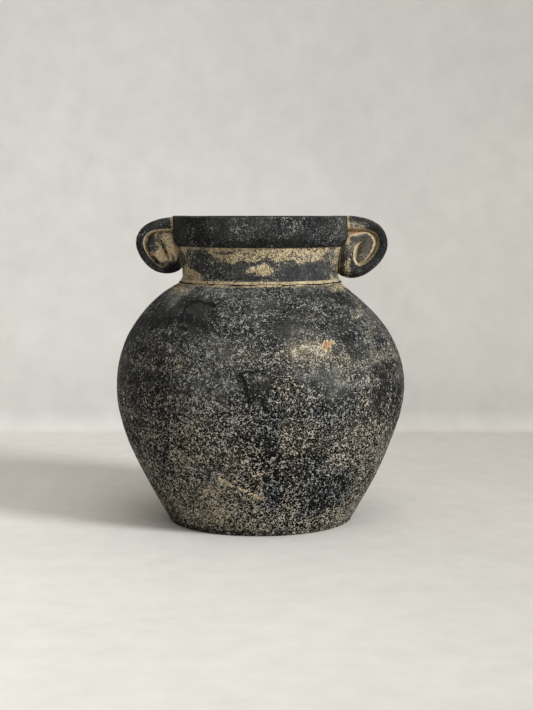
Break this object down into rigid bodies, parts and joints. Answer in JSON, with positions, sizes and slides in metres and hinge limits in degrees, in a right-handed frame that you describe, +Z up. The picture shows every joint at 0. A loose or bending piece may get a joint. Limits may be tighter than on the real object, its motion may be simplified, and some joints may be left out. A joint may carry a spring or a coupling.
{
  "type": "ceramic urn",
  "caption": "Round-bellied hand-built clay urn with a short flared neck, a thick rim and a rolled scroll handle at each side.",
  "frame": {"origin": "middle of the foot, on the surface that the urn stands on", "axes": "+Z up the axis of the vessel, +X towards the right scroll handle as the front is seen, -Y towards the front"},
  "size_m": [0.2896, 0.2896, 0.305],
  "materials": {
    "foot_clay": "bare buff clay with a thin dark slip, matt and dusty",
    "body_slip": "charcoal slip worn through to buff clay in fine specks, matt",
    "neck_clay": "buff clay with patches of dark slip, matt and gritty",
    "rim_slip": "charcoal slip with fine pale grit, matt",
    "handle_slip": "charcoal slip rubbed thin, with buff clay in the grooves, matt"
  },
  "bodies": {
    "root": {"base_disc": "foot_clay", "lower_wall": "body_slip", "upper_wall": "body_slip", "neck_cordon": "neck_clay", "neck_collar": "neck_clay", "rim_band": "rim_slip", "left_scroll_handle": "handle_slip", "right_scroll_handle": "handle_slip"}
  },
  "joints": []
}
